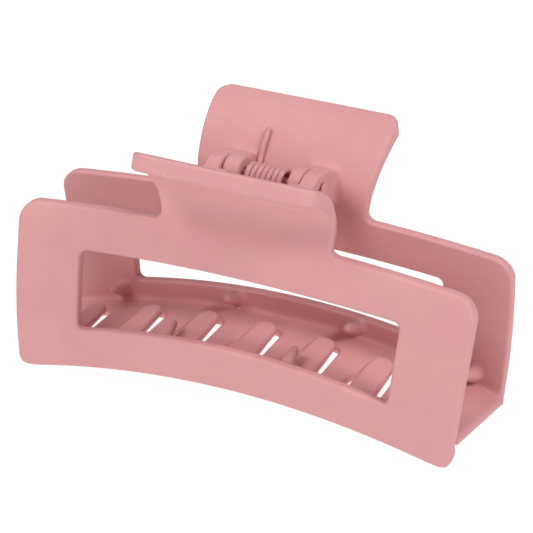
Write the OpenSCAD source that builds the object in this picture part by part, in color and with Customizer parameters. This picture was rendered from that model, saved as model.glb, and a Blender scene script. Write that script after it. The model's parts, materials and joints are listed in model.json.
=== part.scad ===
// Claw clip with two curved jaws, open windows and interlocking combs.
// The jaws turn on one pin through four lugs, and a torsion spring closes them.
// +X runs along the clip, the front jaw is at -Y, and the clip stands on z = 0.

/* [Plates] */
// Length of a plate along its top edge
clip_len = 107.8; // [104:0.2:112]
// Length of a plate along its bottom edge
low_len = 102.6; // [100:0.2:104]
// Height of a plate at its two ends
plate_h = 37.5; // [37:0.1:38.5]
// How far the top edge rises towards the middle
top_rise = 3; // [2:0.1:3.2]
// How far the bottom edge rises towards the middle
low_rise = 7.3; // [6.5:0.1:8]
// Wall thickness
wall = 2.5; // [2.3:0.1:2.7]
// Radius of the top corners
top_corner_r = 5.5; // [3:0.5:6]
// Radius of the bottom corners
low_corner_r = 3; // [2:0.5:3.5]
// Length of the flat foot at each bottom corner, corner radius included
foot_len = 5.5; // [5:0.5:7]

/* [Window] */
// Width of the window at its top
win_w = 75; // [70:0.2:76]
// Width of the window at its bottom
win_low_w = 73.4; // [70:0.2:76]
// Height of the window's lower corners
win_z = 7.7; // [7:0.1:9]
// Height from the lower corners to the upper corners
win_h = 20.4; // [18:0.1:21]
// How far the window's top edge rises towards the middle
win_top_rise = 3.2; // [2:0.1:3.4]
// How far the window's bottom edge rises towards the middle
win_low_rise = 7.7; // [7:0.1:8]
// Radius of the window's corners
win_corner_r = 2; // [1:0.5:3]

/* [Jaw curve] */
// Distance from the middle plane to the belly of the wall's middle surface
belly_y = 15.2; // [14.8:0.1:15.4]
// Height of the belly
belly_z = 1.2; // [0.8:0.1:1.6]
// Radius of the belly
belly_r = 137; // [130:1:144]
// Height at which the wall starts to flare out into the handle
neck_z = 40.6; // [40.2:0.1:41]
// Radius of the neck's curve
neck_r = 9.4; // [9:0.1:9.8]
// Lean of the wall from upright where the neck passes into the handle, in degrees
flare = 28.8; // [27:0.2:31]
// Radius of the handle's longer curl
curl_r = 20.7; // [20:0.1:21.4]
// Lean of the handle at its lip, in degrees
lip_lean = 73; // [70:1:74]

/* [Handle] */
// Width of the handle at the neck
neck_w = 39.4; // [38:0.2:42]
// Widest part of the handle
handle_w = 42.8; // [42:0.2:46]
// Thickness of the rounded lip
lip_d = 3.9; // [3.2:0.1:4]

/* [Comb] */
// Distance from tooth to tooth on one jaw
pitch = 14; // [14:0.1:14.2]
// Thickness of the comb's floor
floor_t = 2; // [1.8:0.1:2.2]
// Height of the floor's middle surface at the ends, at its own wall
floor_z = 2.6; // [2.4:0.1:3]
// Rise of a tooth from its wall to its tip, in degrees
floor_tilt = 4.6; // [4:0.1:5]
// How far the tips reach past the middle plane
tip_reach = 7.5; // [6.5:0.1:7.6]
// How far the slots between the teeth stop short of the wall's side
slot_end = 8.8; // [8.6:0.1:9]
// Mean half width of a tooth
tooth_half = 3.3; // [3.1:0.05:3.35]
// Half width gained at the root and lost at the tip
tooth_taper = 0.4; // [0.2:0.05:0.5]

/* [Grip spikes] */
// Length of a spike that stands out of the lower rail
spike_len = 5; // [3:0.5:5.5]
// Diameter of a spike at its root
spike_d = 4.2; // [3.4:0.1:4.6]
// Diameter of a spike at its tip
spike_tip_d = 1.8; // [1:0.1:2.4]
// Distance from spike to spike
spike_step = 28.2; // [27:0.1:28.4]
// Shift of the row of spikes from the middle
spike_shift = 1.8; // [1:0.1:2.4]

/* [Hinge] */
// Shift of the handles and the hinge along the clip
hinge_x = 0.4; // [0:0.1:0.6]
// Height of the hinge axis
hinge_z = 49.6; // [49.4:0.1:50]
// Diameter of the hinge pin
pin_d = 2; // [1.8:0.1:2.2]
// Radial clearance between the pin and each lug
pin_gap = 0.05; // [0.02:0.01:0.1]
// Diameter of the pin's heads
head_d = 2.8; // [2.6:0.1:3.2]
// Thickness of the pin's heads
head_t = 0.8; // [0.6:0.1:1]
// Diameter of the lugs
lug_d = 7; // [6.6:0.1:7.2]
// Distance from the hinge's middle to the outer face of the outer lugs
lug_out_x = 12.9; // [12.6:0.1:13.4]

/* [Spring] */
// Diameter of the spring wire
wire_d = 1.2; // [1:0.1:1.3]
// Outer diameter of the coil
coil_d = 6; // [5.8:0.1:6.2]
// Length of the coil
coil_len = 8.6; // [8:0.2:9]

/* [Hidden] */
// How far joined round shapes overlap, so that none only touches another
knit = 0.1;
pink = "#dca0a2";
pink_dark = "#c98a8d";

// Belly arc: the angle above the belly at which the wall passes to the neck arc
belly_top_a = asin((neck_z - belly_z) / belly_r);
belly_low_a = asin((-belly_z - 1) / belly_r);
belly_c = [belly_y - belly_r, belly_z];
neck_start = belly_c + belly_r * [cos(belly_top_a), sin(belly_top_a)];
neck_c = neck_start + neck_r * [cos(belly_top_a), sin(belly_top_a)];
flare_start = neck_c + neck_r * [-cos(flare), sin(flare)];
curl_c = flare_start + curl_r * [cos(flare), -sin(flare)];
lip_c = curl_c - curl_r * [cos(lip_lean), -sin(lip_lean)];
// Height that clears the lip, to which the handle's front view is drawn
over_lip = 63;

// Lugs, as [low x, high x]. The back jaw's pair sits inside the front jaw's pair.
front_lugs = [[-lug_out_x, -9.4], [9.4, lug_out_x]];
back_lugs = [[-9, -5.3], [6.2, 9]];
// Middle of the coil from the hinge's middle
coil_x = 0.5;
// Part of the handle's curl that a spring leg lies along, in degrees
leg_turn = 16;
// Underside and top of the arm that joins a lug to the neck, as [y, z] from the hinge axis
arm_outline = [[-1, -3.3], [9, -6.7], [10.9, 0.4], [1.2, 3.2]];

// Height of the middle of the comb's floor at x, at its own wall
function floor_at(x) = floor_z + low_rise * (1 - pow(2 * x / low_len, 2));
// Points along an arc that rises by rise between x = -half and x = half
function rise_arc(half, z, rise, n) =
    [for (i = [0 : n]) let (x = -half + 2 * half * i / n) [x, z + rise * (1 - pow(x / half, 2))]];
function reverse(p) = [for (i = [len(p) - 1 : -1 : 0]) p[i]];
function unit(v) = v / norm(v);
// Arc of radius r that rounds the corner b between a and c
function corner(a, b, c, r, n = 5) =
    let (u = unit(a - b), v = unit(c - b), half = acos(u * v) / 2,
         mid = b + unit(u + v) * r / sin(half), e = b + u * r / tan(half) - mid,
         turn = (180 - 2 * half) * sign(u[0] * v[1] - u[1] * v[0]))
    [for (i = [0 : n]) let (t = -turn * i / n) mid + [e[0] * cos(t) - e[1] * sin(t), e[0] * sin(t) + e[1] * cos(t)]];
function arc(c, r, a0, a1, n) = [for (i = [0 : n]) let (a = a0 + (a1 - a0) * i / n) c + r * [cos(a), sin(a)]];

// Section of the wall across the clip, as [y, z], side being 1 outside and -1 inside
function wall_side(side) = concat(
    arc(belly_c, belly_r + side * wall / 2, belly_low_a, belly_top_a, 14),
    arc(neck_c, neck_r - side * wall / 2, 180 + belly_top_a, 180 - flare, 9),
    arc(curl_c, curl_r - side * wall / 2, 178 - flare, 180 - lip_lean, 10));

// Front view of a plate and its handle, without the window
module jaw_outline() {
    half = clip_len / 2;
    low = low_len / 2;
    top = rise_arc(half, plate_h, top_rise, 12);
    arch = rise_arc(low - foot_len, 0, low_rise - 0.9, 12);
    difference() {
        polygon(concat(
            corner([-low + 20, 0], [-low, 0], [-half, plate_h], low_corner_r),
            corner([-low, 0], [-half, plate_h], top[1], top_corner_r),
            [for (i = [1 : 11]) top[i]],
            corner(top[11], [half, plate_h], [low, 0], top_corner_r),
            corner([half, plate_h], [low, 0], [low - 20, 0], low_corner_r)));
        polygon(concat([[-low + foot_len, -5]], arch, [[low - foot_len, -5]]));
    }
    side = [[neck_w / 2, plate_h - 2], [neck_w / 2, neck_z + 3], [handle_w / 2, 53.5], [handle_w / 2 - 0.4, 56],
            [handle_w / 2 - 3, over_lip]];
    translate([hinge_x, 0]) polygon(concat(side, [for (p = reverse(side)) [-p[0], p[1]]]));
}

module window_outline() {
    hi = win_w / 2;
    lo = win_low_w / 2;
    top = rise_arc(hi, win_z + win_h, win_top_rise, 12);
    bottom = reverse(rise_arc(lo, win_z, win_low_rise, 12));
    polygon(concat(
        corner(bottom[11], [-lo, win_z], [-hi, win_z + win_h], win_corner_r),
        corner([-lo, win_z], [-hi, win_z + win_h], top[1], win_corner_r),
        [for (i = [1 : 11]) top[i]],
        corner(top[11], [hi, win_z + win_h], [lo, win_z], win_corner_r),
        corner([hi, win_z + win_h], [lo, win_z], bottom[1], win_corner_r),
        [for (i = [1 : 11]) bottom[i]]));
}

// The wall of the jaw at +Y: its section drawn along X, cut to its outline
module jaw_wall() {
    intersection() {
        rotate([90, 0, 90]) linear_extrude(clip_len + 10, center = true)
            polygon(concat(wall_side(1), reverse(wall_side(-1))));
        translate([0, 40, 0]) rotate([90, 0, 0]) linear_extrude(50) difference() {
            jaw_outline();
            window_outline();
        }
    }
    translate([hinge_x, lip_c[0], lip_c[1]]) rotate([0, 90, 0])
        cylinder(d = lip_d, h = handle_w - 3, center = true, $fn = 32);
}

// One tooth, seen from above, growing from the wall at +Y towards -Y
module tooth(x) {
    root = tooth_half + tooth_taper;
    tip = tooth_half - tooth_taper;
    translate([x, 0]) {
        polygon([[-root, slot_end + 0.5], [root, slot_end + 0.5], [tip, -tip_reach + tip], [-tip, -tip_reach + tip]]);
        translate([0, -tip_reach + tip]) circle(r = tip, $fn = 32);
    }
}

// The comb of the jaw at +Y, with teeth at the given places along X
module comb(places) {
    intersection() {
        linear_extrude(24) intersection() {
            union() {
                translate([-low_len / 2 + 1, slot_end]) square([low_len - 2, belly_y - slot_end - 0.4]);
                for (x = places) tooth(x);
            }
            translate([-low_len / 2 + 1, -20]) square([low_len - 2, 40]);
        }
        translate([0, belly_y, 0]) rotate([90 - floor_tilt, 0, 0]) linear_extrude(32) polygon(concat(
            [for (i = [-10 : 10]) let (x = i * low_len / 20) [x, floor_at(x) - floor_t / 2]],
            [for (i = [10 : -1 : -10]) let (x = i * low_len / 20) [x, floor_at(x) + floor_t / 2]]));
    }
}

// Spikes on the inside of the lower rail of the jaw at +Y
module spikes() {
    for (i = [-1.5 : 1 : 1.5]) {
        x = spike_shift + i * spike_step;
        translate([x, belly_y - 0.6, floor_at(x) + 4.4]) rotate([90, 0, 0])
            cylinder(d1 = spike_d, d2 = spike_tip_d, h = spike_len + 0.6, $fn = 32);
    }
}

// Lugs with their arms on the jaw at +Y, each span being [low x, high x]
module lugs(spans) {
    for (s = spans) translate([hinge_x + s[0], 0, hinge_z]) rotate([90, 0, 90]) linear_extrude(s[1] - s[0]) {
        circle(d = lug_d, $fn = 48);
        polygon(arm_outline);
    }
}

module pin_bore() {
    translate([0, 0, hinge_z]) rotate([0, 90, 0]) cylinder(d = pin_d + 2 * pin_gap, h = clip_len, center = true, $fn = 48);
}

module back_jaw() {
    color(pink) difference() {
        union() {
            jaw_wall();
            comb([for (i = [-3.5 : 1 : 3.5]) i * pitch]);
            spikes();
            lugs(back_lugs);
        }
        pin_bore();
    }
}

// The front jaw faces the other way. Its row of spikes is the back one turned half round.
module front_jaw() {
    color(pink) difference() {
        union() {
            mirror([0, 1, 0]) {
                jaw_wall();
                comb([for (i = [-3 : 3]) i * pitch]);
                lugs(front_lugs);
            }
            rotate([0, 0, 180]) spikes();
        }
        pin_bore();
    }
}

module hinge_pin() {
    end = lug_out_x + 0.1;
    color(pink_dark) translate([hinge_x, 0, hinge_z]) rotate([0, 90, 0]) {
        cylinder(d = pin_d, h = 2 * end + knit, center = true, $fn = 48);
        for (side = [-1, 1]) translate([0, 0, side * (end + head_t / 2)])
            cylinder(d = head_d, h = head_t, center = true, $fn = 48);
    }
}

// Straight piece of spring wire in the plane at x, from a to b, each [y, z]
module wire(x, a, b) {
    d = b - a;
    translate([x, a[0], a[1]]) rotate([-atan2(d[0], d[1]), 0, 0]) cylinder(d = wire_d, h = norm(d), $fn = 24);
}

// A leg leaves the underside of the coil and lies along the inside of the handle
module spring_leg(x) {
    under = [0, hinge_z - coil_d / 2 + wire_d / 2];
    off = curl_r + wall / 2 + wire_d / 2 + 0.3;
    foot = curl_c - off * [cos(flare), -sin(flare)];
    tip = curl_c - off * [cos(flare + leg_turn), -sin(flare + leg_turn)];
    wire(x, under, foot);
    translate([x, foot[0], foot[1]]) sphere(d = wire_d + knit, $fn = 24);
    wire(x, foot, tip);
}

module torsion_spring() {
    color(pink_dark) translate([hinge_x, 0, 0]) {
        translate([coil_x, 0, hinge_z]) rotate([0, 90, 0]) difference() {
            cylinder(d = coil_d + knit, h = coil_len, center = true, $fn = 48);
            cylinder(d = coil_d - 2 * wire_d - knit, h = coil_len + 1, center = true, $fn = 48);
        }
        spring_leg(coil_x - coil_len / 2 + wire_d / 2);
        mirror([0, 1, 0]) spring_leg(coil_x + coil_len / 2 - wire_d / 2);
    }
}

front_jaw();
back_jaw();
hinge_pin();
torsion_spring();
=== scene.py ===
import json
import math

import bmesh
import bpy
import numpy as np
from mathutils import Matrix, Vector


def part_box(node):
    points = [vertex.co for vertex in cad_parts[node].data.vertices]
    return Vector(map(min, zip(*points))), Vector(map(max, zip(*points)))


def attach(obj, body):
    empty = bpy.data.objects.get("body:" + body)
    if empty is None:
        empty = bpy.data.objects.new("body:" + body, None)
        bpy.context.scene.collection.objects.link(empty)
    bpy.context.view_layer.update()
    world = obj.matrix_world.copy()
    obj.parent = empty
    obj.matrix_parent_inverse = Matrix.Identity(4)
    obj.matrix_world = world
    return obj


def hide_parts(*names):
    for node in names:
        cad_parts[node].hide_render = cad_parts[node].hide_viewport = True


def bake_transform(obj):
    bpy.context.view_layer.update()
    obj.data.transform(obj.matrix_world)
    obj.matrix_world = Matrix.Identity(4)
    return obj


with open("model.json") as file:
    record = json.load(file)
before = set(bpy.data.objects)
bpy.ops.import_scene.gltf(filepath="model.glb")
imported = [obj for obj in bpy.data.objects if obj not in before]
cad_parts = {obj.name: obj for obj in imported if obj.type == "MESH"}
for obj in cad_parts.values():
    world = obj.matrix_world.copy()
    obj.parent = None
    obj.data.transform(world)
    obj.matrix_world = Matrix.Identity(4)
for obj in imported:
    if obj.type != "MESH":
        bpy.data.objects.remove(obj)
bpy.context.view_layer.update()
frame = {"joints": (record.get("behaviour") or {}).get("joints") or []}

MM = 0.001


# ---------------------------------------------------------------------------------------------
# Back jaw: one injection moulding in matte ABS, with its window, comb, grip spikes and two
# hinge lugs. Every edge is rounded and every inside corner is filleted, as a mould needs, so
# the whole jaw is drawn as one distance field and skinned, instead of joined from blocks.
# ---------------------------------------------------------------------------------------------
hinge = frame["joints"][0]["pos_m"]
HINGE_Z = hinge[2] / MM

HINGE_X = 0.46

# The wall's section, in mm across Y and Z: a wide belly, a tight neck, then a curl out to the lip.
WALL_HALF = 1.27
LIP_HALF = 1.97
EDGE_R = 0.6
BELLY_C = (-121.62, 1.19)
BELLY_R = 137.04
BELLY_END = math.radians(16.73)
NECK_V = BELLY_C[1] + BELLY_R * math.sin(BELLY_END)
NECK_R = 9.38
FLARE = math.radians(28.82)
CURL_R = 20.68
LIP_LEAN = math.radians(75.54)
NECK_START = (BELLY_C[0] + BELLY_R * math.cos(BELLY_END), NECK_V)
NECK_C = (NECK_START[0] + NECK_R * math.cos(BELLY_END), NECK_START[1] + NECK_R * math.sin(BELLY_END))
CURL_START = (NECK_C[0] - NECK_R * math.cos(FLARE), NECK_C[1] + NECK_R * math.sin(FLARE))
CURL_C = (CURL_START[0] + CURL_R * math.cos(FLARE), CURL_START[1] - CURL_R * math.sin(FLARE))
CURL_V = NECK_V + NECK_R * (BELLY_END + FLARE)
LIP_V = CURL_V + CURL_R * (LIP_LEAN - FLARE)
BOW = 0.73
PLAY = 0.506
BOW_RUN = 54.0
BULGE = 0.41
BULGE_Z = 27.9
BULGE_RUN = 9.0
HINGE_BORE_R = 1.05


def round_both(a, b, r):
    """Where both a and b are inside, with the edge between them rounded to radius r."""
    return np.minimum(np.maximum(a, b), -r) + np.hypot(np.maximum(a + r, 0), np.maximum(b + r, 0))


def round_either(a, b, r):
    """Where a or b is inside, with the corner between them filleted to radius r."""
    return -round_both(-a, -b, r)


def wall_shift(x, z):
    """How far the wall bows in towards its ends and over the window, and stands off by the hinge's play."""
    bow = BOW * (x / BOW_RUN) ** 2 - PLAY * x / BOW_RUN
    return bow + BULGE * np.exp(-((z - BULGE_Z) / BULGE_RUN) ** 2)


def wall_place(x, y, z):
    """How far a point lies outside the wall's middle surface, and how far up the wall it is."""
    y = y + wall_shift(x, z)
    out = np.hypot(y - BELLY_C[0], z - BELLY_C[1]) - BELLY_R
    up = z + 0 * out
    along = (z - NECK_START[1]) * math.cos(BELLY_END) - (y - NECK_START[0]) * math.sin(BELLY_END)
    neck = along > 0
    out = np.where(neck, NECK_R - np.hypot(y - NECK_C[0], z - NECK_C[1]), out)
    turn = np.arctan2(z - NECK_C[1], NECK_C[0] - y)
    up = np.where(neck, NECK_V + NECK_R * (turn + BELLY_END), up)
    curl = neck & ((y - CURL_START[0]) * math.sin(FLARE) + (z - CURL_START[1]) * math.cos(FLARE) > 0)
    out = np.where(curl, CURL_R - np.hypot(y - CURL_C[0], z - CURL_C[1]), out)
    turn = np.arctan2(z - CURL_C[1], CURL_C[0] - y)
    up = np.where(curl, CURL_V + CURL_R * (turn - FLARE), up)
    return out, up


# The plate's arched edges: how high each stands at the middle, and how far it falls at ARCH_RUN.
ARCH_RUN = 52.5
PLATE_TOP = (40.48, 3.03)
PLATE_FOOT = (6.19, 7.28)
WINDOW_TOP = (31.02, 3.16)
WINDOW_FOOT = (15.3, 7.75)
TOP_CORNER_R = 4.7
FOOT_CORNER_R = 2.9
WINDOW_CORNER_R = 1.5
SIDE_HALF = 51.26
SIDE_GAIN = 2.48
SIDE_SWELL = 1.4
WINDOW_HALF = 36.66
WINDOW_GAIN = 0.87
HANDLE_NECK = 19.72
HANDLE_GAIN = 1.68
HANDLE_ROOT = 34.0
LIP_CORNER_R = 3.25
HANDLE_FILLET = 1.8


def arched(x, up, middle, rise):
    """How far a point is above a line that is highest at the clip's middle and falls to its ends."""
    line = middle - rise * (x / ARCH_RUN) ** 2
    return (up - line) / np.hypot(1, 2 * rise * x / ARCH_RUN ** 2)


def jaw_outline(x, up):
    """The jaw's front view: plate, handle and window. Negative inside the plastic."""
    part = (up + 1.09) / 38.8
    side = np.abs(x) - (SIDE_HALF + SIDE_GAIN * part + SIDE_SWELL * part * (1 - part))
    plate = round_both(side, arched(x, up, *PLATE_TOP), TOP_CORNER_R)
    plate = round_both(plate, -arched(x, up, *PLATE_FOOT), FOOT_CORNER_R)
    plate = round_both(plate, -up, EDGE_R)
    spread = np.clip((up - 40.9) / 20.0, 0, 1)
    handle_side = np.abs(x - HINGE_X) - (HANDLE_NECK + HANDLE_GAIN * (1 - (1 - spread) ** 1.5))
    handle = round_both(handle_side, up - LIP_V, LIP_CORNER_R)
    handle = np.maximum(handle, HANDLE_ROOT - up)
    window_side = np.abs(x) - (WINDOW_HALF + WINDOW_GAIN * (up - 8.4) / 19.5)
    window = round_both(window_side, arched(x, up, *WINDOW_TOP), WINDOW_CORNER_R)
    window = round_both(window, -arched(x, up, *WINDOW_FOOT), WINDOW_CORNER_R)
    return np.maximum(round_either(plate, handle, HANDLE_FILLET), -window)


PITCH = 14.0
FLOOR_LOW = 2.6
FLOOR_ARCH = 7.46
FLOOR_RUN = 51.14
FLOOR_RISE = math.tan(math.radians(4.6))
FLOOR_HALF = 1.05
FLOOR_WALL_Y = 15.1
COMB_EDGE_R = 0.9
TOOTH_FILLET = 2.4
END_TOOTH_SIDE = 49.0


def floor_at(x):
    """Height of the comb's floor at its own wall: it follows the arch of the plate's foot."""
    return FLOOR_LOW + FLOOR_ARCH * (1 - (x / FLOOR_RUN) ** 2)


def comb(x, y, z, first, tip_y, tip_r, root_y, root_half, lift, end_x):
    """A floor strip along the wall with round-ended teeth reaching past the middle."""
    k = np.clip(np.round((x - first) / PITCH), 0, round(-2 * first / PITCH))
    across = x - (first + PITCH * k)
    half = tip_r + (root_half - tip_r) * np.clip((y - tip_y) / (root_y - tip_y), 0, 1)
    tooth = np.hypot(across, np.minimum(y - tip_y, 0)) - half
    straight_ends = first < -45.0
    if straight_ends:
        tooth = np.minimum(tooth, np.maximum(END_TOOTH_SIDE - np.abs(x), tip_y - tip_r - y))
    plan = round_either(tooth, root_y - y, TOOTH_FILLET)
    plan = round_both(plan, np.abs(x) - end_x - 0.03 * np.clip(y, -10, 12), COMB_EDGE_R)
    slope = np.hypot(1.0, 2 * FLOOR_ARCH * x / FLOOR_RUN ** 2)
    high = (z - floor_at(x) - lift - FLOOR_RISE * (FLOOR_WALL_Y - y)) / slope
    return round_both(np.abs(high) - FLOOR_HALF, plan, COMB_EDGE_R)


FAR = 50.0
SPIKE_LONG = 6.6
SPIKE_R = 2.0
SPIKE_TAPER = 1.05
SPIKE_FOOT_Y = 14.0
SPIKE_OVER_FLOOR = 2.75
LEAN_IN = 0.935
LEAN_UP = 0.355


def spikes(x, y, z, places):
    """Blunt cones on the inside of the lower rail that lean up and grip the hair."""
    near = np.full(np.broadcast(x, y, z).shape, FAR)
    for place in places:
        inward = SPIKE_FOOT_Y - y
        rise = z - floor_at(place) - SPIKE_OVER_FLOOR
        along = inward * LEAN_IN + rise * LEAN_UP
        beside = rise * LEAN_IN - inward * LEAN_UP
        reach = np.clip(along / SPIKE_LONG, 0, 1)
        beyond = np.maximum(along - SPIKE_LONG, 0)
        axis_gap = np.sqrt((x - place) ** 2 + beside ** 2 + beyond ** 2)
        cone = axis_gap - (SPIKE_R - SPIKE_TAPER * reach)
        near = np.minimum(near, np.maximum(cone, -along - 1.2))
    return near


LUG_R = 3.5
LUG_EDGE_R = 0.45
ARM_FOOT_Y = 4.3
ARM = [(-1.0, -3.3), (9.0, -6.7), (11.2, 0.2), (1.5, 3.16)]


def lugs(x, y, z, spans):
    """Hinge lugs on arms down to the neck. A span is low, high, and low and high at the wall."""
    disc = np.hypot(y, z - HINGE_Z) - LUG_R
    arm = np.full(disc.shape, -FAR)
    for a, b in zip(ARM, ARM[1:] + ARM[:1]):
        length = math.hypot(b[0] - a[0], b[1] - a[1])
        edge = ((y - a[0]) * (b[1] - a[1]) - (z - HINGE_Z - a[1]) * (b[0] - a[0])) / length
        arm = np.maximum(arm, edge)
    section = round_either(disc, arm, 1.0)
    near = np.full(np.broadcast(x, section).shape, FAR)
    for low, high, root_low, root_high in spans:
        narrow = np.clip((y - 4.5) / 3.5, 0, 1)
        low_side = low + (max(root_low, low) - low) * narrow - x
        high_side = x - high - (min(root_high, high) - high) * narrow
        sides = np.maximum(low_side, high_side)
        near = np.minimum(near, round_both(section, sides, LUG_EDGE_R))
        wide = np.maximum(np.maximum(min(root_low, low) - x, x - max(root_high, high)), ARM_FOOT_Y - y)
        kept_high = sides if root_high <= high else -FAR
        kept_low = sides if root_low >= low else -FAR
        wide = np.maximum(wide, np.where(x > (low + high) / 2, kept_high, kept_low))
        near = np.minimum(near, round_both(section, wide, LUG_EDGE_R))
    return near


COMB_FILLET = 1.1
SPIKE_FILLET = 0.6
LUG_FILLET = 1.4


def jaw_field(x, y, z, teeth, spike_places, lug_spans):
    """Distance from the surface of a jaw whose wall is at +Y, in mm. Negative inside."""
    out, up = wall_place(x, y, z)
    half = WALL_HALF + (LIP_HALF - WALL_HALF) * np.clip((up - 49.0) / (LIP_V - 49.0), 0, 1)
    wall = round_both(np.abs(out) - half, jaw_outline(x, up), EDGE_R)
    body = round_either(wall, np.maximum(comb(x, y, z, *teeth), out + 0.9), COMB_FILLET)
    body = round_either(body, np.maximum(spikes(x, y, z, spike_places), out), SPIKE_FILLET)
    body = round_either(body, np.maximum(lugs(x, y, z, lug_spans), out + 0.2), LUG_FILLET)
    bore = HINGE_BORE_R - np.hypot(y, z - HINGE_Z)
    return np.maximum(body, bore)


CORNERS = [(i, j, k) for i in (0, 1) for j in (0, 1) for k in (0, 1)]


def skin(field, low, high, step, rounds=3):
    """A closed quad mesh on the zero surface of a distance field, its points pulled onto it."""
    axes = [low[i] + step * np.arange(int((high[i] - low[i]) / step) + 2) for i in range(3)]
    size = [len(a) for a in axes]
    value = np.empty(size)
    for start in range(0, size[0], 24):
        part = slice(start, start + 24)
        value[part] = field(axes[0][part, None, None], axes[1][None, :, None], axes[2][None, None, :])
    inside = value < 0
    count = np.zeros([n - 1 for n in size], int)
    for i, j, k in CORNERS:
        count += inside[i:size[0] - 1 + i, j:size[1] - 1 + j, k:size[2] - 1 + k]
    cells = np.argwhere((count > 0) & (count < 8))
    number = np.full(count.shape, -1)
    number[tuple(cells.T)] = np.arange(len(cells))

    points = np.zeros((len(cells), 3))
    found = np.zeros(len(cells))
    for a in CORNERS:
        for axis in range(3):
            if a[axis]:
                continue
            b = tuple(1 if n == axis else a[n] for n in range(3))
            at_a = value[tuple((cells + a).T)]
            at_b = value[tuple((cells + b).T)]
            cut = (at_a < 0) != (at_b < 0)
            part = np.where(cut, at_a / np.where(cut, at_a - at_b, 1), 0)
            place = cells + np.array(a, float)
            place[:, axis] += part
            points += place * cut[:, None]
            found += cut
    points = np.array(low) + step * points / found[:, None]

    faces = []
    for axis in range(3):
        u, v = [n for n in range(3) if n != axis]
        first = [slice(1, -1)] * 3
        second = [slice(1, -1)] * 3
        first[axis] = slice(0, -1)
        second[axis] = slice(1, None)
        change = inside[tuple(first)] != inside[tuple(second)]
        edges = np.argwhere(change)
        edges[:, u] += 1
        edges[:, v] += 1
        ring = []
        for du, dv in ((-1, -1), (0, -1), (0, 0), (-1, 0)):
            cell = edges.copy()
            cell[:, u] += du
            cell[:, v] += dv
            ring.append(number[tuple(cell.T)])
        ring = np.stack(ring, 1)
        outward = inside[tuple(edges.T)] ^ (axis == 1)
        faces.append(np.where(outward[:, None], ring, ring[:, ::-1]))
    faces = np.concatenate(faces)

    a = np.concatenate([faces[:, n] for n in range(4)])
    b = np.concatenate([faces[:, (n + 1) % 4] for n in range(4)])
    neighbours = np.bincount(a, minlength=len(points)) + np.bincount(b, minlength=len(points))
    probe = 0.02
    for turn in range(rounds + 1):
        if turn < rounds:
            total = np.zeros_like(points)
            for axis in range(3):
                ahead = np.bincount(a, points[b, axis], len(points))
                behind = np.bincount(b, points[a, axis], len(points))
                total[:, axis] = ahead + behind
            points += 0.6 * (total / neighbours[:, None] - points)
        for pull in range(2 if turn < rounds else 4):
            here = field(*points.T)
            slope = np.zeros_like(points)
            for axis in range(3):
                side = probe * np.eye(3)[axis]
                slope[:, axis] = (field(*(points + side).T) - field(*(points - side).T)) / (2 * probe)
            points -= np.clip(here / np.maximum((slope ** 2).sum(1), 0.2), -0.3, 0.3)[:, None] * slope
    return points, faces


def mesh_object(name, points, faces, material):
    """A smooth-shaded object from points in mm."""
    mesh = bpy.data.meshes.new(name)
    mesh.from_pydata((np.asarray(points) * MM).tolist(), [], [tuple(map(int, face)) for face in faces])
    mesh.polygons.foreach_set("use_smooth", [True] * len(mesh.polygons))
    mesh.materials.append(material)
    mesh.update()
    piece = bpy.data.objects.new(name, mesh)
    bpy.context.scene.collection.objects.link(piece)
    return piece


def linear(code):
    """sRGB hex to the linear colour that a shader takes."""
    parts = [int(code[n:n + 2], 16) / 255 for n in (1, 3, 5)]
    return tuple(c / 12.92 if c <= 0.04045 else ((c + 0.055) / 1.055) ** 2.4 for c in parts) + (1.0,)


def add_node(tree, kind, settings=None, links=None):
    """One node with its settings (attributes or input values) and its incoming links."""
    node = tree.nodes.new(kind)
    for key, value in (settings or {}).items():
        if isinstance(key, str) and hasattr(node, key):
            setattr(node, key, value)
        else:
            node.inputs[key].default_value = value
    for key, source in (links or {}).items():
        tree.links.new(source, node.inputs[key])
    return node


def new_material(name):
    material = bpy.data.materials.new(name)
    material.use_nodes = True
    material.node_tree.nodes.clear()
    return material, material.node_tree


# Moulded ABS with a soft-touch matte coat. It scatters light evenly, so the eye sees a chalky
# pink with only a faint sheen at glancing angles, a fine grain, and a painted highlight on its convex
# edges.
jaw_plastic, tree = new_material("moulded_abs_soft_touch_pink")
place = add_node(tree, "ShaderNodeTexCoord")
cloud = add_node(tree, "ShaderNodeTexNoise", {"Scale": 90.0, "Detail": 3.0, "Roughness": 0.55},
                 {"Vector": place.outputs["Object"]})
tint = add_node(tree, "ShaderNodeValToRGB", links={"Fac": cloud.outputs["Fac"]})
tint.color_ramp.elements[0].position = 0.3
tint.color_ramp.elements[0].color = linear("#DC9D9F")
tint.color_ramp.elements[1].position = 0.7
tint.color_ramp.elements[1].color = linear("#E0A3A4")
bare = add_node(tree, "ShaderNodeNewGeometry")
# Painted highlight: convex edges (high pointiness) are mixed toward a paler pink, standing in for the light
# caught on rounded edges.
edge = add_node(tree, "ShaderNodeMapRange",
                {"From Min": 0.56, "From Max": 0.64, "To Min": 0.0, "To Max": 0.35},
                {"Value": bare.outputs["Pointiness"]})
painted_edge_highlight = add_node(tree, "ShaderNodeMix", {"data_type": "RGBA"},
                {"Factor": edge.outputs["Result"], 6: tint.outputs["Color"]})
painted_edge_highlight.inputs[7].default_value = linear("#EBB4B4")
grain = add_node(tree, "ShaderNodeTexNoise", {"Scale": 2600.0, "Detail": 2.0, "Roughness": 0.6},
                 {"Vector": place.outputs["Object"]})
rough = add_node(tree, "ShaderNodeMapRange", {"To Min": 0.5, "To Max": 0.62},
                 {"Value": grain.outputs["Fac"]})
bump = add_node(tree, "ShaderNodeBump", {"Strength": 0.12, "Distance": 0.0001},
                {"Height": grain.outputs["Fac"]})
shader = add_node(tree, "ShaderNodeBsdfPrincipled",
                  {"IOR": 1.5, "Specular IOR Level": 0.18, "Sheen Weight": 0.02, "Sheen Roughness": 0.5},
                  {"Base Color": painted_edge_highlight.outputs[2], "Roughness": rough.outputs["Result"],
                   "Normal": bump.outputs["Normal"]})
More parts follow.
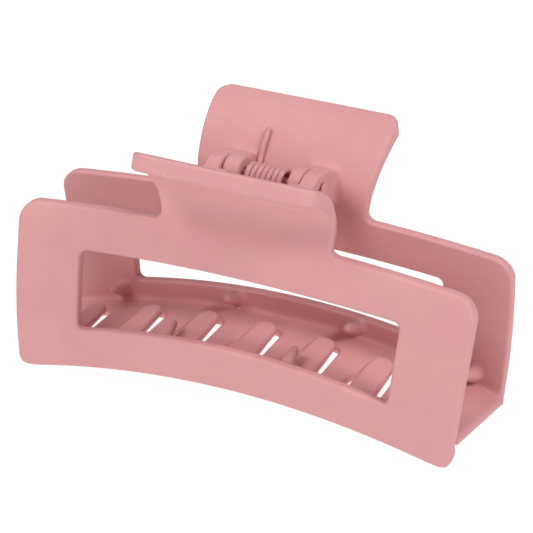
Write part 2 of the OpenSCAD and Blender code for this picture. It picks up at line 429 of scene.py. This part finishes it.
add_node(tree, "ShaderNodeOutputMaterial", links={"Surface": shader.outputs["BSDF"]})

STEP = 0.42
SKIN_LOW = (-56.0, -13.0, -1.0)
SKIN_HIGH = (56.0, 26.5, 61.5)
BACK_TEETH = (-3.5 * PITCH, -8.6, 2.7, 6.2, 4.05, -0.7, 51.6)
BACK_SPIKES = [-39.8, -11.8, 17.2, 44.9]
BACK_LUGS = [(-8.55, -4.8, -12.4, -6.4), (6.6, 9.5, 6.6, 12.4)]


def back_field(x, y, z):
    return jaw_field(x, y, z, BACK_TEETH, BACK_SPIKES, BACK_LUGS)


points, faces = skin(back_field, SKIN_LOW, SKIN_HIGH, STEP)
back_jaw = mesh_object("back_jaw_shell", points, faces, jaw_plastic)
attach(back_jaw, "back_half")
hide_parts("back_jaw")


# ---------------------------------------------------------------------------------------------
# Hinge pin: a steel rod through all four lugs, upset at both ends into low domed heads that
# keep it in, and sprayed with the clip, so it has the jaws' pink in a harder, glossier coat.
# ---------------------------------------------------------------------------------------------
pin_low, pin_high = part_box("hinge_pin")
PIN_HALF = (pin_high.x - pin_low.x) / 2 / MM + 0.1
PIN_R = 1.0
HEAD_R = 1.5
HEAD_T = 0.8
DOME = 0.45


def ring_faces(rows, around):
    """Quads between rows of points that run round an axis, and one face across each end."""
    faces = []
    for row in range(rows - 1):
        near = row * around
        far = near + around
        for n in range(around):
            m = (n + 1) % around
            faces.append((near + n, near + m, far + m, far + n))
    last = (rows - 1) * around
    faces.append(tuple(range(around))[::-1])
    faces.append(tuple(last + n for n in range(around)))
    return faces


def turned(profile, around=40):
    """A closed body turned about X from (along, radius) points, its ends on the axis."""
    points = []
    for along, radius in profile:
        for n in range(around):
            angle = 2 * math.pi * n / around
            points.append((along, radius * math.cos(angle), radius * math.sin(angle)))
    return np.array(points), ring_faces(len(profile), around)


def tidy_normals(piece):
    """Welds doubled points and turns every face outwards."""
    mesh = bmesh.new()
    mesh.from_mesh(piece.data)
    bmesh.ops.remove_doubles(mesh, verts=mesh.verts, dist=1e-7)
    bmesh.ops.recalc_face_normals(mesh, faces=mesh.faces)
    mesh.to_mesh(piece.data)
    mesh.free()


half_profile = [(PIN_HALF - HEAD_T - 0.12, PIN_R), (PIN_HALF - HEAD_T, PIN_R + 0.06),
                (PIN_HALF - HEAD_T + 0.02, HEAD_R - 0.1), (PIN_HALF - HEAD_T + 0.12, HEAD_R)]
for n in range(9):
    angle = math.pi / 2 * n / 8
    along = PIN_HALF - DOME + DOME * math.sin(angle)
    half_profile.append((along, HEAD_R * (0.35 + 0.65 * math.cos(angle) ** 0.8)))
half_profile.append((PIN_HALF + 0.02, 0.12))
profile = [(-along, radius) for along, radius in half_profile[::-1]] + half_profile

# Sprayed steel: the same pink over metal, thinner and harder, so it shows a tighter highlight.
coated_steel, tree = new_material("sprayed_steel_pink")
place = add_node(tree, "ShaderNodeTexCoord")
speck = add_node(tree, "ShaderNodeTexNoise", {"Scale": 900.0, "Detail": 2.0},
                 {"Vector": place.outputs["Object"]})
tint = add_node(tree, "ShaderNodeValToRGB", links={"Fac": speck.outputs["Fac"]})
tint.color_ramp.elements[0].position = 0.35
tint.color_ramp.elements[0].color = linear("#D39496")
tint.color_ramp.elements[1].position = 0.65
tint.color_ramp.elements[1].color = linear("#DEA0A2")
rough = add_node(tree, "ShaderNodeMapRange", {"To Min": 0.36, "To Max": 0.5},
                 {"Value": speck.outputs["Fac"]})
shader = add_node(tree, "ShaderNodeBsdfPrincipled", {"IOR": 1.5, "Specular IOR Level": 0.5},
                  {"Base Color": tint.outputs["Color"], "Roughness": rough.outputs["Result"]})
add_node(tree, "ShaderNodeOutputMaterial", links={"Surface": shader.outputs["BSDF"]})

points, faces = turned(profile)
points += (HINGE_X, 0, HINGE_Z)
pin = mesh_object("hinge_pin_coated", points, faces, coated_steel)
tidy_normals(pin)
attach(pin, "back_half")
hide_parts("hinge_pin")


# ---------------------------------------------------------------------------------------------
# Torsion spring: seven close turns of 1.2 mm steel wire round the pin, with one straight leg
# on each handle. The leg on the back handle shows; its cut end lies flat on the plastic.
# ---------------------------------------------------------------------------------------------
WIRE_R = 0.6
COIL_R = 2.45
TURNS = 7
COIL_LOW = -3.36
COIL_PITCH = 1.225
COIL_STEPS = 44
CUT_LENGTH = 0.3
CUT_RINGS = [(0.0, 0.55), (0.12, 0.85)]


def sweep(path, radius, around=14):
    """A round wire along a smooth path, with rounded cut ends."""
    path = np.array(path)
    run = np.gradient(path, axis=0)
    run /= np.linalg.norm(run, axis=1)[:, None]
    side = np.cross(run[0], (0.3, 0.5, 0.8))
    side /= np.linalg.norm(side)
    rings = []
    for n in range(len(path)):
        side = side - run[n] * side.dot(run[n])
        side /= np.linalg.norm(side)
        rings.append((path[n], side, np.cross(run[n], side), 1.0))
    start = []
    end = []
    for along, grow in CUT_RINGS:
        start.append((path[0] + run[0] * (along - CUT_LENGTH) * radius, *rings[0][1:3], grow))
        end.insert(0, (path[-1] - run[-1] * (along - CUT_LENGTH) * radius, *rings[-1][1:3], grow))
    rings = start + rings + end
    points = []
    for centre, side, up, grow in rings:
        for n in range(around):
            angle = 2 * math.pi * n / around
            points.append(centre + radius * grow * (math.cos(angle) * side + math.sin(angle) * up))
    return np.array(points), ring_faces(len(rings), around)


def smooth_line(knots, spacing=0.3):
    """Points along a Catmull-Rom curve through the knots."""
    before = 2 * knots[0] - knots[1]
    after = 2 * knots[-1] - knots[-2]
    knots = np.array([before] + knots + [after])
    line = []
    for n in range(1, len(knots) - 2):
        a, b, c, d = knots[n - 1:n + 3]
        steps = max(2, int(np.linalg.norm(c - b) / spacing))
        for s in range(steps):
            t = s / steps
            point = 2 * b + (c - a) * t
            point = point + (2 * a - 5 * b + 4 * c - d) * t ** 2
            point = point + (3 * b - a - 3 * c + d) * t ** 3
            line.append(0.5 * point)
    line.append(knots[-2])
    return line


coil = []
for n in range(TURNS * COIL_STEPS + 1):
    angle = 2 * math.pi * n / COIL_STEPS
    along = COIL_LOW + COIL_PITCH * n / COIL_STEPS
    coil.append(np.array((along, -COIL_R * math.sin(angle), HINGE_Z - COIL_R * math.cos(angle))))

# One leg, as steps outwards along the pin, out from it, and up from it.
leg = [(0.0, 0.0, -COIL_R), (0.45, 3.0, -2.4), (1.05, 5.6, -1.95), (1.6, 7.7, -1.1),
       (1.74, 9.05, -0.2), (1.74, 10.7, 2.4), (1.74, 12.9, 4.95), (1.7, 13.24, 5.3)]
back_leg = [np.array((COIL_LOW - aside, y, HINGE_Z + z)) for aside, y, z in leg]
front_leg = [np.array((COIL_LOW + TURNS * COIL_PITCH + aside, -y, HINGE_Z + z)) for aside, y, z in leg]
wire = smooth_line(back_leg)[::-1][:-1] + coil + smooth_line(front_leg)[1:]
points, faces = sweep(wire, WIRE_R)
spring = mesh_object("torsion_spring_wound", points, faces, coated_steel)
tidy_normals(spring)
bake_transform(spring)
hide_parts("torsion_spring")


# ---------------------------------------------------------------------------------------------
# Front jaw: the second moulding, the other hand of the first. Its seven teeth fall between the
# back jaw's, its lugs sit outside the back jaw's, and its row of spikes is turned half round.
# ---------------------------------------------------------------------------------------------
FRONT_TEETH = (-3 * PITCH, -2.6, 2.6, 12.1, 3.25, 0.65, 50.9)
FRONT_SPIKES = [-place for place in BACK_SPIKES]
FRONT_LUGS = [(-12.4, -8.85, -12.4, -6.6), (9.8, 13.3, 7.6, 13.3)]


def front_field(x, y, z):
    return jaw_field(x, y, z, FRONT_TEETH, FRONT_SPIKES, FRONT_LUGS)


points, faces = skin(front_field, SKIN_LOW, SKIN_HIGH, STEP)
points[:, 1] *= -1
front_jaw = mesh_object("front_jaw_shell", points, faces[:, ::-1], jaw_plastic)
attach(front_jaw, "front_half")
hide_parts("front_jaw")


# ---------------------------------------------------------------------------------------------
# Studio: a card floor lit evenly until it is white, so that the clip hardly throws a shadow, five
# round soft boxes with the strongest at the upper right, and a long lens from the front right.
# ---------------------------------------------------------------------------------------------
AZIMUTH = math.radians(24.031)
ELEVATION = math.radians(25.42)
ROLL = math.radians(1.77)
DISTANCE = 0.59162
LENS = 184.63
AIM_Z = 0.02391
AIM_RIGHT = 0.001194
AIM_UP = 0.004283

level = math.cos(ELEVATION)
back = Vector((math.sin(AZIMUTH) * level, -math.cos(AZIMUTH) * level, math.sin(ELEVATION)))
right = (-back).cross(Vector((0, 0, 1))).normalized()
up = right.cross(-back)
right, up = (math.cos(ROLL) * right + math.sin(ROLL) * up, math.cos(ROLL) * up - math.sin(ROLL) * right)
aim = Vector((0, 0, AIM_Z)) + AIM_RIGHT * right + AIM_UP * up
camera = bpy.data.objects.new("camera", bpy.data.cameras.new("camera"))
camera.data.lens = LENS
camera.data.sensor_width = 36.0
camera.data.clip_start = 0.01
turn = Matrix((right, up, back)).transposed().to_4x4()
camera.matrix_world = Matrix.Translation(aim + DISTANCE * back) @ turn
bpy.context.scene.collection.objects.link(camera)
bpy.context.scene.camera = camera

# White card: rough paper whose fibres make it slightly uneven. Its own glow stands for lights aimed
# at the floor alone.
card, tree = new_material("white_card")
place = add_node(tree, "ShaderNodeTexCoord")
fibre = add_node(tree, "ShaderNodeTexNoise", {"Scale": 40.0, "Detail": 4.0},
                 {"Vector": place.outputs["Object"]})
tint = add_node(tree, "ShaderNodeMapRange", {"To Min": 0.14, "To Max": 0.17},
                {"Value": fibre.outputs["Fac"]})
shader = add_node(tree, "ShaderNodeBsdfPrincipled",
                  {"Roughness": 0.9, "Emission Color": (1, 1, 1, 1), "Emission Strength": 0.93},
                  {"Base Color": tint.outputs["Result"]})
add_node(tree, "ShaderNodeOutputMaterial", links={"Surface": shader.outputs["BSDF"]})
floor_mesh = bpy.data.meshes.new("studio_floor")
reach = 4.0
corners = [(-reach, -reach, 0), (reach, -reach, 0), (reach, reach, 0), (-reach, reach, 0)]
floor_mesh.from_pydata(corners, [], [(0, 1, 2, 3)])
floor_mesh.materials.append(card)
studio_floor = bpy.data.objects.new("studio_floor", floor_mesh)
bpy.context.scene.collection.objects.link(studio_floor)


SOFT_BOX_SIZE = 0.5


def soft_box(name, place, power):
    """A round soft box at a place, aimed at the clip."""
    light = bpy.data.lights.new(name, "AREA")
    light.shape = "DISK"
    light.size = SOFT_BOX_SIZE
    light.energy = power
    lamp = bpy.data.objects.new(name, light)
    lamp.location = place
    lamp.rotation_euler = (Vector((0, 0, 0.03)) - Vector(place)).to_track_quat("-Z", "Y").to_euler()
    bpy.context.scene.collection.objects.link(lamp)


soft_box("key", (-0.45, -0.75, 0.95), 5.4)
soft_box("left_top", (-0.8, -0.1, 0.9), 1.9)
soft_box("right_top", (0.8, -0.1, 0.9), 7.2)
soft_box("overhead", (0.0, 0.0, 1.2), 2.0)
soft_box("front_fill", (0.1, -1.1, 0.35), 2.0)

world = bpy.data.worlds.new("studio")
world.use_nodes = True
world.node_tree.nodes["Background"].inputs["Color"].default_value = (1, 1, 1, 1)
world.node_tree.nodes["Background"].inputs["Strength"].default_value = 0.04
bpy.context.scene.world = world
bpy.context.scene.view_settings.view_transform = "Standard"
bpy.context.scene.view_settings.look = "None"
